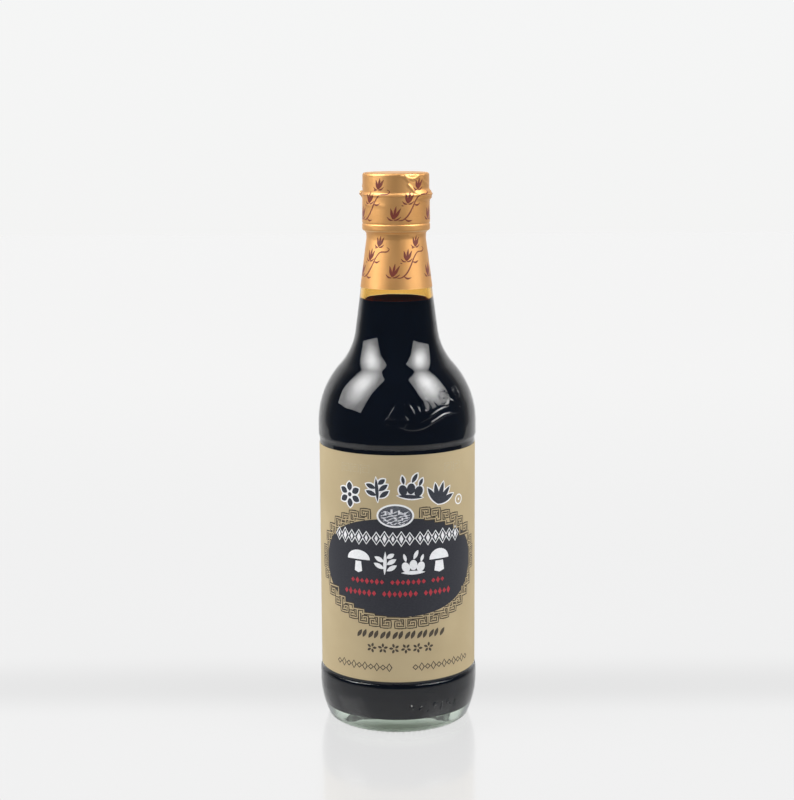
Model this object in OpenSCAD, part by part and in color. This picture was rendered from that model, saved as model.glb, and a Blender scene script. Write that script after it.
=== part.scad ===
// Half-litre glass soy sauce bottle, sealed: a round bottle with a paper label
// wrapped round its straight panel, a flip-top cap, and a shrunk foil capsule
// over the cap and the top of the neck. Millimetres, +Z up, origin at the
// centre of the foot, front towards -Y.

/* [Glass body] */
// Diameter of the straight panel that carries the label
panel_d = 69.3; // [58:0.1:84]
// Height of the heel, from the table to the bottom of the label panel
heel_h = 23.4; // [21:0.1:30]
// Height of the label panel between heel and shoulder
panel_h = 105.3; // [80:0.1:130]
// How far the heel stands proud of the label panel
heel_out = 0.75; // [0.4:0.05:1.5]
// How far the shoulder ring stands proud of the label panel
ring_out = 0.54; // [0.3:0.02:1.5]
// Height of the sloping step from the panel out to a ring
step_h = 1.6; // [0.8:0.1:2.5]
// Height of the upright band of the shoulder ring
ring_h = 5.1; // [2:0.1:8]
// Radius of the shoulder's outer curve
shoulder_round = 38.7; // [32:0.1:50]
// Radius of the hollow curve between shoulder and neck
neck_round = 28.3; // [22:0.1:40]
// Thickness of the glass round the panel
wall = 2.6; // [2:0.05:3.5]

/* [Foot] */
// Height at which the heel starts to round in
heel_z = 17.7; // [14:0.1:20]
// Radius of the heel's long curve
heel_round = 38.5; // [32:0.5:48]
// Radius of the corner between heel and bearing ring
foot_round = 3.2; // [2:0.1:5]
// Width of the flat bearing ring
bearing_w = 2.2; // [1.5:0.1:4]
// Height of the push-up under the foot
pushup_h = 3.2; // [1.5:0.1:5]
// Height of the inside floor where it meets the wall
floor_z = 6.6; // [5.5:0.1:9]
// Rise of the inside floor towards its middle
floor_rise = 2.6; // [1:0.1:5]
// Radius of the inside corner between wall and floor
floor_round = 7; // [4:0.5:9]

/* [Neck] */
// Height from the top of the shoulder ring to the collar
neck_h = 81.8; // [75:0.1:100]
// Radius of the neck just under the collar
neck_r = 12.9; // [12.2:0.02:15]
// Slope of the neck's side, in degrees
neck_taper = 7.5; // [4:0.1:9]
// Height of the collar under the cap
collar_h = 3.1; // [2:0.1:4]
// How far the collar stands proud of the neck
collar_out = 0.12; // [0.05:0.01:0.4]
// Height from the collar to the mouth
finish_h = 12.4; // [9:0.1:15]
// How far the neck steps in above the collar
finish_in = 0.6; // [0.3:0.05:1]
// Radius of the bead that holds the cap on
bead_round = 1.1; // [0.8:0.1:1.4]

/* [Cap] */
// Height of the whole cap
cap_h = 25.1; // [20:0.1:30]
// Thickness of the cap's skirt
skirt_wall = 1.6; // [0.9:0.05:2]
// Running gap between the cap's skirt and the bead
skirt_gap = 0.3; // [0.1:0.05:0.5]
// Height of the skirt, up to the flip-top lid
skirt_h = 15.7; // [12:0.1:17]
// Height of the band below the groove in the skirt
band_h = 2.9; // [1.5:0.1:4]
// Width and depth of the groove above that band
groove = 0.25; // [0.1:0.05:0.4]
// How much the skirt narrows up to the lid
skirt_draft = 0.15; // [0:0.05:0.3]
// How far the rim between skirt and lid stands out
rim_out = 0.4; // [0.1:0.05:0.6]
// How far the lid is set in from the skirt
lid_in = 0.28; // [0.05:0.01:0.6]
// Radius of the rounding round the top of the lid
lid_round = 1; // [0.5:0.1:2]
// How far the thumb lip stands out from the skirt
lip_out = 0.95; // [0.5:0.05:2]
// Thickness of the thumb lip
lip_t = 3.4; // [1.5:0.1:4]
// Direction of the thumb lip, in degrees from +X
lip_turn = -10; // [-40:5:40]
// How far the hinge knuckle stands out from the skirt
knuckle_out = 1.4; // [1:0.1:2]
// Radius of the hinge knuckle, opposite the thumb lip
knuckle_r = 0.8; // [0.5:0.1:1.2]

/* [Capsule, label and sauce] */
// Thickness of the shrunk capsule
film_t = 0.12; // [0.08:0.01:0.3]
// How far the capsule reaches down the neck below the cap
film_drop = 24.7; // [12:0.1:30]
// Thickness of the paper label
label_t = 0.12; // [0.08:0.01:0.3]
// Bare panel below the label
label_low = 1.6; // [0.5:0.1:4]
// Bare panel above the label
label_top = 2.3; // [0.5:0.1:4]
// Width of the glued lap at the back of the label
lap_w = 9; // [5:0.5:15]
// Clearance of capsule, label and sauce from what they lie on
fit = 0.04; // [0.02:0.01:0.1]
// Drop from the mouth to the sauce's surface
headspace = 42.2; // [34:0.1:50]

/* [Hidden] */
$fn = 96;

// Points along each arc of an outline
ARC = 14;
// Points of an outline nearer than this are one point
MEET = 0.001;

// Radii of the body's straight parts
panel_r = panel_d / 2;
heel_r = panel_r + heel_out;
ring_r = panel_r + ring_out;
inside_r = panel_r - wall;

// Heights of the body's parts, bottom to top
panel_top = heel_h + panel_h;
ring_low = panel_top + step_h;
ring_top = ring_low + ring_h;
collar_z = ring_top + neck_h;
finish_z = collar_z + collar_h;
mouth_z = finish_z + finish_h;
sauce_z = mouth_z - headspace;

// Heel: its long curve, and the corner that is tangent to it and to the table
heel_mid = [heel_r - heel_round, heel_z];
foot_mid = [heel_mid.x + leg(heel_round - foot_round, heel_z - foot_round), foot_round];
foot_turn = atan2(heel_z - foot_round, foot_mid.x - heel_mid.x);
bearing_r = foot_mid.x - bearing_w;

// The same inside: the wall's curve and the corner tangent to the floor
heel_round_in = inside_r - heel_mid.x;
floor_mid = [
    heel_mid.x + leg(heel_round_in - floor_round, heel_z - floor_z - floor_round),
    floor_z + floor_round
];
floor_turn = atan2(heel_z - floor_mid.y, floor_mid.x - heel_mid.x);

// Shoulder and neck: a hollow curve tangent to the shoulder and to the neck's side
shoulder_mid = [ring_r - shoulder_round, ring_top];
slope = tan(neck_taper);
reach = neck_r + slope * collar_z + neck_round / cos(neck_taper) - shoulder_mid.x;
hollow_b = reach * slope + ring_top;
hollow_c = reach ^ 2 + ring_top ^ 2 - (shoulder_round + neck_round) ^ 2;
hollow_z = (hollow_b + sqrt(hollow_b ^ 2 - (1 + slope ^ 2) * hollow_c)) / (1 + slope ^ 2);
hollow_mid = [shoulder_mid.x + reach - slope * hollow_z, hollow_z];
shoulder_turn = atan2(hollow_z - ring_top, hollow_mid.x - shoulder_mid.x);

// Inside the shoulder and neck the wall is measured square to the same curves
neck_wall = wall + ring_out;
bore_r = neck_r - neck_wall / cos(neck_taper);

// Finish: the neck inside the cap, with the bead that the cap grips
finish_r = neck_r - finish_in;
bead_z = finish_z + finish_h / 2;
bead_r = finish_r + bead_round / 2;
mouth_round = 0.8;

// Cap
cap_z = finish_z + fit;
cap_in_r = bead_r + skirt_gap;
cap_r = cap_in_r + skirt_wall;
skirt_top_r = cap_r - skirt_draft;
lid_r = cap_r - lid_in;
lid_z = cap_z + skirt_h;
cap_top = cap_z + cap_h;
lip_shift = 2.8;
hem_round = 0.8;

// Label
label_r = panel_r + fit;
label_z = heel_h + label_low;
label_h = panel_h - label_low - label_top;

// Lower end of the capsule, on the neck's side
film_z = cap_z - film_drop;

// Other leg of a right triangle with this hypotenuse and leg
function leg(hypotenuse, side) = sqrt(hypotenuse ^ 2 - side ^ 2);

// Points of an arc about mid, from angle a to angle b
function arc(mid, r, a, b) = [
    for (i = [0:ARC]) let (turn = a + (b - a) * i / ARC)
        mid + r * [cos(turn), sin(turn)]
];

// Points of a shallow dome from the rim [r, z] up to its middle on the axis
function dome(r, z, rise) =
    let (ball = (r ^ 2 + rise ^ 2) / (2 * rise), rim = asin(r / ball))
    [for (i = [0:ARC]) let (turn = rim * (1 - i / ARC))
        [ball * sin(turn), z + rise - ball * (1 - cos(turn))]];

// Radius of the neck's side at height z
function neck_at(z) = neck_r + slope * (collar_z - z);

function reverse(path) = [for (i = [len(path) - 1:-1:0]) path[i]];

// The path without points that repeat the one before, as where two arcs meet
function single(path) = [
    for (i = [0:len(path) - 1])
        if (i == 0 || norm(path[i] - path[max(i - 1, 0)]) > MEET) path[i]
];

// Direction square to the step from a to b, to its right
function square_to(a, b) = let (step = b - a) [step.y, -step.x] / norm(step);

// The path moved sideways by the distance out, to its right, with mitred corners
function grow(path, out) = [
    for (i = [0:len(path) - 1])
        let (
            last = len(path) - 1,
            before = square_to(path[max(i - 1, 0)], path[max(i, 1)]),
            after = square_to(path[min(i, last - 1)], path[min(i + 1, last)])
        )
        path[i] + out * (before + after) / (1 + before * after)
];

// Outside of the glass, from the bearing ring up to the mouth
function glass_outside() = single(concat(
    arc(foot_mid, foot_round, -90, -foot_turn),
    arc(heel_mid, heel_round, -foot_turn, 0),
    [
        [heel_r, heel_h - step_h],
        [panel_r, heel_h],
        [panel_r, panel_top],
        [ring_r, ring_low]
    ],
    arc(shoulder_mid, shoulder_round, 0, shoulder_turn),
    arc(hollow_mid, neck_round, 180 + shoulder_turn, 180 + neck_taper),
    [
        [neck_r, collar_z],
        [neck_r + collar_out, collar_z + collar_out],
        [neck_r + collar_out, finish_z],
        [finish_r, finish_z]
    ],
    arc([finish_r - bead_round / 2, bead_z], bead_round, -60, 60),
    [
        [finish_r, mouth_z - mouth_round],
        [finish_r - mouth_round, mouth_z]
    ]
));

// Inside of the glass, from the middle of the floor up to the mouth
function glass_inside() = single(concat(
    reverse(dome(floor_mid.x, floor_z, floor_rise)),
    arc(floor_mid, floor_round, -90, -floor_turn),
    arc(heel_mid, heel_round_in, -floor_turn, 0),
    arc(shoulder_mid, shoulder_round - neck_wall, 0, shoulder_turn),
    arc(hollow_mid, neck_round + neck_wall, 180 + shoulder_turn, 180 + neck_taper),
    [
        [bore_r, collar_z],
        [bore_r, mouth_z]
    ]
));

// Outside of the cap, from the hem of its skirt to the middle of its top
function cap_outside() = concat(
    arc([cap_r - hem_round, cap_z + hem_round], hem_round, -90, 0),
    [
        [cap_r, cap_z + band_h],
        [cap_r - groove, cap_z + band_h + groove],
        [cap_r - groove, cap_z + band_h + 2 * groove],
        [cap_r, cap_z + band_h + 3 * groove],
        [skirt_top_r, lid_z - rim_out],
        [skirt_top_r + rim_out, lid_z],
        [skirt_top_r + rim_out, lid_z + rim_out],
        [lid_r, lid_z + 2 * rim_out]
    ],
    arc([lid_r - lid_round, cap_top - lid_round], lid_round, 0, 90),
    [[0, cap_top]]
);

// What the capsule is shrunk on to: the neck's side, the collar and the cap
function wrapped() = concat(
    [
        [neck_at(film_z), film_z],
        [neck_r, collar_z],
        [neck_r + collar_out, collar_z + collar_out],
        [neck_r + collar_out, finish_z - collar_h / 3]
    ],
    cap_outside()
);

module glass_bottle() {
    color([0.72, 0.84, 0.78, 0.35]) rotate_extrude() polygon(concat(
        dome(bearing_r, 0, pushup_h),
        [[0, floor_z + floor_rise]],
        glass_inside(),
        reverse(glass_outside())
    ));
}

module soy_sauce() {
    color([0.09, 0.05, 0.05]) intersection() {
        rotate_extrude() polygon(concat(
            grow(glass_inside(), -fit),
            [[0, mouth_z]]
        ));
        cylinder(r = panel_r, h = sauce_z);
    }
}

// Thumb lip: a round-edged disc set off centre, out of the lid's side
module lip(out) {
    nose = lip_t / 2 + out;
    rotate(lip_turn) translate([lip_shift, 0, lid_z]) rotate_extrude() {
        translate([0, -nose]) square([lip_edge() - nose + out, 2 * nose]);
        translate([lip_edge() - nose + out, 0]) circle(nose);
    }
}

// Radius of the lip's disc, about its own middle
function lip_edge() = cap_r + lip_out - lip_shift;

// Hinge knuckle: a short upright pin in the cap's side, opposite the lip
module knuckle(out) {
    rotate(lip_turn + 180) translate([cap_r + knuckle_out - knuckle_r, 0, lid_z - out])
        cylinder(r = knuckle_r + out, h = 2 * (knuckle_r + out));
}

module cap() {
    color([0.80, 0.62, 0.30]) difference() {
        union() {
            rotate_extrude() polygon(concat(cap_outside(), [[0, cap_z]]));
            lip(0);
            knuckle(0);
        }
        translate([0, 0, cap_z - 1]) cylinder(r = cap_in_r, h = mouth_z + fit - cap_z + 1);
    }
}

module capsule() {
    color([0.78, 0.62, 0.38]) difference() {
        union() {
            rotate_extrude() polygon(concat(grow(wrapped(), fit + film_t), [[0, film_z]]));
            lip(fit + film_t);
            knuckle(fit + film_t);
        }
        rotate_extrude() polygon(concat(
            [[0, film_z - 1], [neck_at(film_z) + fit, film_z - 1]],
            grow(wrapped(), fit)
        ));
        lip(fit);
        knuckle(fit);
    }
}

// A paper sleeve, two sheets thick where its ends are glued at the back
module label() {
    color([0.76, 0.69, 0.53]) translate([0, 0, label_z]) linear_extrude(label_h) difference() {
        union() {
            circle(label_r + label_t);
            intersection() {
                circle(label_r + 2 * label_t);
                translate([-lap_w / 2, 0]) square([lap_w, panel_d]);
            }
        }
        circle(label_r);
    }
}

glass_bottle();
soy_sauce();
cap();
capsule();
label();
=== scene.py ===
import math

import bpy
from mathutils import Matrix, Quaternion, Vector


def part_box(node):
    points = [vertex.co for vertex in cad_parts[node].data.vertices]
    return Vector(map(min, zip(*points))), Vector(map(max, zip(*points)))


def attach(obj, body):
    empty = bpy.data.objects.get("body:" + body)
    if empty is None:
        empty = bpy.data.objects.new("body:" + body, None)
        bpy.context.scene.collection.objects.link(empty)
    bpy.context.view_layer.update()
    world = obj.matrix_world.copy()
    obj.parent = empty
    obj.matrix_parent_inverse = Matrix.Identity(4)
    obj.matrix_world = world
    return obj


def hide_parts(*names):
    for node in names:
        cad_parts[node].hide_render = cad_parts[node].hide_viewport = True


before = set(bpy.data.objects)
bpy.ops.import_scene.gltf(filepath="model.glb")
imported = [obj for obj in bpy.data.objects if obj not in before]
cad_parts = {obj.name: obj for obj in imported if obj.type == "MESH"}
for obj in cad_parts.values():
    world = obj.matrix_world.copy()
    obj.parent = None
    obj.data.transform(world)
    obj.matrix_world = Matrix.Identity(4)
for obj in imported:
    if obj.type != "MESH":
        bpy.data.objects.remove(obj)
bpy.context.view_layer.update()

# Glass bottle. A half-litre bottle blown in a two-part mould, of clear glass with a faint
# green tint, thick in the foot. The mould leaves a raised scroll on the shoulder, small raised
# marks on the heel and a knurled ring under the foot.
MM = 0.001
glass_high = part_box("glass_bottle")[1]
sauce_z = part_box("soy_sauce")[1].z
heel_r, mouth_z = glass_high.x, glass_high.z
heel_h, panel_h, step_h, ring_h = 23.4 * MM, 105.3 * MM, 1.6 * MM, 5.1 * MM
panel_r = heel_r - 0.75 * MM
ring_r = panel_r + 0.54 * MM
panel_top = heel_h + panel_h
ring_top = panel_top + step_h + ring_h
wall, ring_wall, neck_wall = 2.6 * MM, 3.14 * MM, 2.3 * MM
collar_z = ring_top + 81.8 * MM
collar_top = collar_z + 3.1 * MM
neck_r, collar_r, finish_r = 12.9 * MM, 13.02 * MM, 12.3 * MM
neck_taper = 7.5
bore_r = neck_r - neck_wall / math.cos(math.radians(neck_taper))

heel_z, heel_round, foot_round = 17.7 * MM, 38.5 * MM, 3.2 * MM
bearing_w, pushup_h = 2.2 * MM, 2.5 * MM
floor_z, floor_rise, floor_round = 6.8 * MM, 1.8 * MM, 2.5 * MM
shoulder_round, neck_round = 38.7 * MM, 28.3 * MM
edge_round = 0.6 * MM
ledge_h, ledge_in, knurl_h = 1.3 * MM, 0.35 * MM, 1.2 * MM


def leg(hypotenuse, side):
    """The other leg of a right triangle."""
    return math.sqrt(hypotenuse**2 - side**2)


def arc(mid, r, a, b, steps):
    """Points of an arc about mid, from angle a to angle b in degrees."""
    turns = [math.radians(a + (b - a) * i / steps) for i in range(steps + 1)]
    return [(mid[0] + r * math.cos(t), mid[1] + r * math.sin(t)) for t in turns]


def soften(corners, reach, steps=4):
    """A line through corners, with each corner rounded over that reach to both sides."""
    path = [corners[0]]
    for before, corner, after in zip(corners, corners[1:], corners[2:]):
        a, b, c = Vector(before), Vector(corner), Vector(after)
        start = b + (a - b).normalized() * min(reach, (a - b).length / 2)
        end = b + (c - b).normalized() * min(reach, (c - b).length / 2)
        for i in range(steps + 1):
            t = i / steps
            path.append(tuple(start * (1 - t) ** 2 + b * 2 * t * (1 - t) + end * t**2))
    return path + [corners[-1]]


def single(path, least=2e-6):
    """The path without points that repeat the one before."""
    kept = [path[0]]
    for point in path[1:]:
        if math.dist(point, kept[-1]) > least:
            kept.append(point)
    return kept


heel_mid = (heel_r - heel_round, heel_z)
foot_mid = (heel_mid[0] + leg(heel_round - foot_round, heel_z - foot_round), foot_round)
foot_turn = math.degrees(math.atan2(heel_z - foot_round, foot_mid[0] - heel_mid[0]))
bearing_r = foot_mid[0] - bearing_w
inside_r = panel_r - wall
heel_round_in = inside_r - heel_mid[0]
floor_mid = (
    heel_mid[0] + leg(heel_round_in - floor_round, heel_z - floor_z - floor_round),
    floor_z + floor_round,
)
floor_turn = math.degrees(math.atan2(heel_z - floor_mid[1], floor_mid[0] - heel_mid[0]))

shoulder_mid = (ring_r - shoulder_round, ring_top)
slope = math.tan(math.radians(neck_taper))
reach = neck_r + slope * collar_z + neck_round / math.cos(math.radians(neck_taper)) - shoulder_mid[0]
hollow_b = reach * slope + ring_top
hollow_c = reach**2 + ring_top**2 - (shoulder_round + neck_round) ** 2
hollow_z = (hollow_b + math.sqrt(hollow_b**2 - (1 + slope**2) * hollow_c)) / (1 + slope**2)
hollow_mid = (shoulder_mid[0] + reach - slope * hollow_z, hollow_z)
shoulder_turn = math.degrees(math.atan2(hollow_z - ring_top, hollow_mid[0] - shoulder_mid[0]))
shoulder_end_z = ring_top + shoulder_round * math.sin(math.radians(shoulder_turn))
hollow_end_z = hollow_z - neck_round * math.sin(math.radians(neck_taper))


def glass_at(z):
    """Radius of the outside of the glass at height z, from the heel up to the collar."""
    if z < heel_z:
        return heel_mid[0] + leg(heel_round, heel_z - z)
    if z < ring_top:
        return heel_r if z < heel_h else ring_r
    if z < shoulder_end_z:
        return shoulder_mid[0] + leg(shoulder_round, z - ring_top)
    if z < hollow_end_z:
        return hollow_mid[0] - leg(neck_round, hollow_z - z)
    return neck_r + slope * (collar_z - z)


def inside_outline(out):
    """The inside from the middle of the floor to the mouth, with the wall thinner by out."""
    ball = (floor_mid[0] ** 2 + floor_rise**2) / (2 * floor_rise)
    rim = math.degrees(math.asin(floor_mid[0] / ball))
    ball_mid = (0, floor_z + floor_rise - ball)
    return single(
        arc(ball_mid, ball - out, 90, 90 - rim, 16)
        + arc(floor_mid, floor_round + out, -90, -floor_turn, 20)
        + arc(heel_mid, heel_round_in + out, -floor_turn, 0, 12)
        + [(inside_r + out, heel_z + (ring_top - heel_z) * i / 12) for i in range(1, 12)]
        + arc(shoulder_mid, shoulder_round - ring_wall + out, 0, shoulder_turn, 32)
        + arc(hollow_mid, neck_round + ring_wall - out, 180 + shoulder_turn, 180 + neck_taper, 24)[:-1]
        + [(bore_r + out + slope * (collar_z - z), z) for z in (hollow_end_z + 9 * MM, sauce_z, collar_z)]
        + [(bore_r + out, mouth_z)]
    )


def select_only(*pieces):
    bpy.ops.object.select_all(action="DESELECT")
    for piece in pieces:
        piece.select_set(True)
    bpy.context.view_layer.objects.active = pieces[0]


def lathe(name, outline, steps):
    """A piece turned round the upright axis from an outline of (radius, height) points."""
    bpy.ops.object.select_all(action="DESELECT")
    bpy.ops.mesh.primitive_plane_add(size=MM)
    piece = bpy.context.object
    piece.name = name
    bpy.ops.object.mode_set(mode="EDIT")
    bpy.ops.mesh.merge(type="CENTER")
    bpy.ops.transform.translate(value=(outline[0][0], 0, outline[0][1]))
    for (r0, z0), (r1, z1) in zip(outline, outline[1:]):
        bpy.ops.mesh.extrude_region_move(TRANSFORM_OT_translate={"value": (r1 - r0, 0, z1 - z0)})
    bpy.ops.mesh.select_all(action="SELECT")
    bpy.ops.mesh.spin(steps=steps, angle=math.tau, center=(0, 0, 0), axis=(0, 0, 1))
    bpy.ops.mesh.select_all(action="SELECT")
    bpy.ops.mesh.remove_doubles(threshold=1e-6)
    bpy.ops.mesh.normals_make_consistent(inside=False)
    bpy.ops.object.mode_set(mode="OBJECT")
    return piece


def smooth(piece, sharp_deg=40):
    select_only(piece)
    bpy.ops.object.shade_smooth_by_angle(angle=math.radians(sharp_deg))


def finish(piece, material, slot, *nodes):
    """Gives a piece its material and its body, and hides the nodes that it stands for; the slot is not
    used.
    """
    piece.data.materials.clear()
    piece.data.materials.append(material)
    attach(piece, "root")
    if nodes:
        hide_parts(*nodes)


ball = (bearing_r**2 + pushup_h**2) / (2 * pushup_h)
rim = math.degrees(math.asin(bearing_r / ball))
underside = arc((0, pushup_h - ball), ball, 90, 90 - rim, 16)
outside = (
    arc(foot_mid, foot_round, -90, -foot_turn, 16)
    + arc(heel_mid, heel_round, -foot_turn, 0, 16)[1:]
    + soften(
        [
            (heel_r, heel_z + 1 * MM),
            (heel_r, heel_h - ledge_h),
            (heel_r - ledge_in, heel_h),
            (panel_r, heel_h),
            (panel_r, panel_top),
            (ring_r, panel_top + step_h),
            (ring_r, ring_top - 0.2 * MM),
        ],
        edge_round,
    )
    + arc(shoulder_mid, shoulder_round, 0, shoulder_turn, 40)
    + arc(hollow_mid, neck_round, 180 + shoulder_turn, 180 + neck_taper, 32)[1:]
    + soften(
        [
            (neck_r, collar_z),
            (collar_r, collar_z + 0.12 * MM),
            (collar_r, collar_top),
            (finish_r, collar_top),
            (finish_r, mouth_z),
            (bore_r, mouth_z),
        ],
        0.1 * MM,
    )
)
glass = lathe("glass", single(underside + outside + list(reversed(inside_outline(0)))), 240)


def strokes(name, lines, sides=1):
    """Rounded strokes in an upright plane: each line is [(x, z, half width), ...]."""
    bpy.ops.object.select_all(action="DESELECT")
    bpy.ops.curve.primitive_bezier_curve_add(radius=MM)
    piece = bpy.context.object
    piece.name = name
    curve = piece.data
    curve.splines.clear()
    curve.bevel_depth, curve.bevel_resolution, curve.use_fill_caps = MM, sides, True
    for line in lines:
        closed = len(line) > 2 and line[0][:2] == line[-1][:2]
        points = line[:-1] if closed else line
        spline = curve.splines.new("POLY")
        spline.points.add(len(points) - 1)
        for point, (x, z, half) in zip(spline.points, points):
            point.co, point.radius = (x * MM, 0, z * MM, 1), half
        spline.use_cyclic_u = closed
    bpy.ops.object.convert(target="MESH")
    bpy.ops.object.mode_set(mode="EDIT")
    bpy.ops.mesh.select_all(action="SELECT")
    bpy.ops.mesh.remove_doubles(threshold=1e-6)
    bpy.ops.mesh.normals_make_consistent(inside=False)
    bpy.ops.object.mode_set(mode="OBJECT")
    return bpy.context.object


def thin(piece, share):
    """Flattens a piece in the upright plane to a share of its depth."""
    select_only(piece)
    bpy.ops.object.mode_set(mode="EDIT")
    bpy.ops.mesh.select_all(action="SELECT")
    bpy.ops.transform.resize(value=(1, share, 1), center_override=(0, 0, 0))
    bpy.ops.object.mode_set(mode="OBJECT")


def cut_columns(piece, pitch):
    """Cuts a flat piece into upright columns, so that it can bend."""
    select_only(piece)
    places = [vertex.co.x for vertex in piece.data.vertices]
    first, last = math.ceil(min(places) / pitch), math.floor(max(places) / pitch)
    bpy.ops.object.mode_set(mode="EDIT")
    for i in range(first, last + 1):
        bpy.ops.mesh.select_all(action="SELECT")
        bpy.ops.mesh.bisect(plane_co=(i * pitch, 0, 0), plane_no=(1, 0, 0))
    bpy.ops.object.mode_set(mode="OBJECT")


def wrap(piece, surface, flat_r):
    """Bends flat work round the bottle: surface(z) is the radius at height z that it lies on,
    and flat_r the radius at which a distance across the work is true."""
    for vertex in piece.data.vertices:
        turn, r = vertex.co.x / flat_r, surface(vertex.co.z) - vertex.co.y
        vertex.co = (r * math.sin(turn), -r * math.cos(turn), vertex.co.z)


def line(points, half, taper=0.0, steps=1):
    """A stroke through points, of one half width that shrinks to both ends by the taper."""
    path = []
    for (x0, z0), (x1, z1) in zip(points, points[1:]):
        path += [(x0 + (x1 - x0) * i / steps, z0 + (z1 - z0) * i / steps) for i in range(steps)]
    path.append(points[-1])
    last = len(path) - 1
    return [(x, z, half * (1 - taper * abs(2 * i / last - 1) ** 2)) for i, (x, z) in enumerate(path)]


def curl(x, z, r, start, turns, half, shrink=0.75):
    """A spiral stroke about (x, z) from radius r inwards, from angle start in degrees."""
    steps = max(6, int(abs(turns) * 20))
    path = []
    for i in range(steps + 1):
        t = i / steps
        turn, radius = math.radians(start + 360 * turns * t), r * (1 - shrink * t)
        path.append((x + radius * math.cos(turn), z + radius * math.sin(turn), half * (1 - 0.4 * t)))
    return path


def vine(points, steps=8):
    """A smooth line through points (Catmull-Rom), each (x, z, half width)."""
    ends = [points[0]] + list(points) + [points[-1]]
    path = []
    for a, b, c, d in zip(ends, ends[1:], ends[2:], ends[3:]):
        for i in range(steps):
            t = i / steps
            path.append(tuple(
                0.5 * (
                    2 * q + (r - p) * t + (2 * p - 5 * q + 4 * r - s) * t**2
                    + (3 * q - p - 3 * r + s) * t**3
                )
                for p, q, r, s in zip(a, b, c, d)
            ))
    return path + [points[-1]]


# Raised scroll on the right of the shoulder: a double vine with curls, slashes and dots over it,
# rising to the right. It is low and broad; the small marks on the heel are round in section.
scroll_share, heel_share = 0.38, 1.0
scroll_lines = [
    vine([
        (1, 138.8, 0.4), (6, 137.6, 0.7), (11, 138.2, 0.8), (17, 140.6, 0.8), (23, 142.8, 0.8),
        (30, 143.2, 0.4),
    ]),
    vine([(10, 140.6, 0.3), (15, 142.7, 0.55), (20, 145, 0.6), (26, 146.2, 0.3)]),
    curl(-3.2, 141, 1.9, -30, 0.8, 0.66, 0.3),
    curl(2.6, 141.2, 2.0, -100, 0.85, 0.66, 0.3),
    curl(13.4, 147.6, 2.7, -110, 0.85, 0.7, 0.3),
    curl(23.8, 150, 3.4, -130, 0.9, 0.7, 0.25),
    curl(33, 151.6, 2.4, -140, 0.9, 0.66, 0.3),
    line([(-3, 143.9), (-0.8, 147)], 0.66, 0.3, 4),
    line([(1.6, 144.4), (3.8, 148)], 0.7, 0.3, 5),
    line([(5.8, 147.6), (7.4, 144.4)], 0.66, 0.3, 3),
    line([(9.3, 147.4), (10.6, 143.8)], 0.62, 0.3, 3),
    line([(17.8, 149), (19.4, 146.6)], 0.6, 0.3, 3),
    line([(6.3, 141.2), (6.5, 141.5)], 0.75),
    line([(23.6, 150), (23.9, 150.2)], 0.7),
    line([(28.8, 148), (29, 148.3)], 0.7),
    line([(32.4, 145), (32.6, 145.3)], 0.75),
]
heel_lines = [
    curl(6.4, 12.6, 1.3, 90, 0.8, 0.44),
    line([(9.4, 11.6), (10.6, 13.4)], 0.48, steps=3),
    line([(13.2, 10.6), (14, 11.4)], 0.52, steps=2),
    curl(16.8, 13.2, 1.4, 20, 0.9, 0.46),
    line([(19.8, 10.6), (20.6, 14.2)], 0.46, steps=4),
    curl(24.6, 12.6, 1.7, 100, 0.9, 0.48),
    line([(27.6, 11.4), (28.4, 13.6)], 0.48, steps=3),
]
for lines, flat_r, share in ((scroll_lines, ring_r, scroll_share), (heel_lines, heel_r, heel_share)):
    relief = strokes("glass_relief", lines, 3)
    thin(relief, share)
    wrap(relief, glass_at, flat_r)
    select_only(glass, relief)
    union = glass.modifiers.new("relief", "BOOLEAN")
    union.object, union.operation, union.solver = relief, "UNION", "MANIFOLD"
    bpy.ops.object.modifier_apply(modifier=union.name)
    bpy.data.objects.remove(relief)

# The knurled ring: low teeth pressed into the corner under the foot
teeth, tooth_h = 80, 0.35 * MM
for vertex in glass.data.vertices:
    spot = vertex.co
    if spot.z < knurl_h and spot.xy.length > bearing_r:
        turn = math.atan2(spot.y, spot.x)
        spot.z += tooth_h * (1 - math.cos(turn * teeth)) / 2 * min(1, (spot.xy.length - bearing_r) / MM)
smooth(glass, 36)


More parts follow.
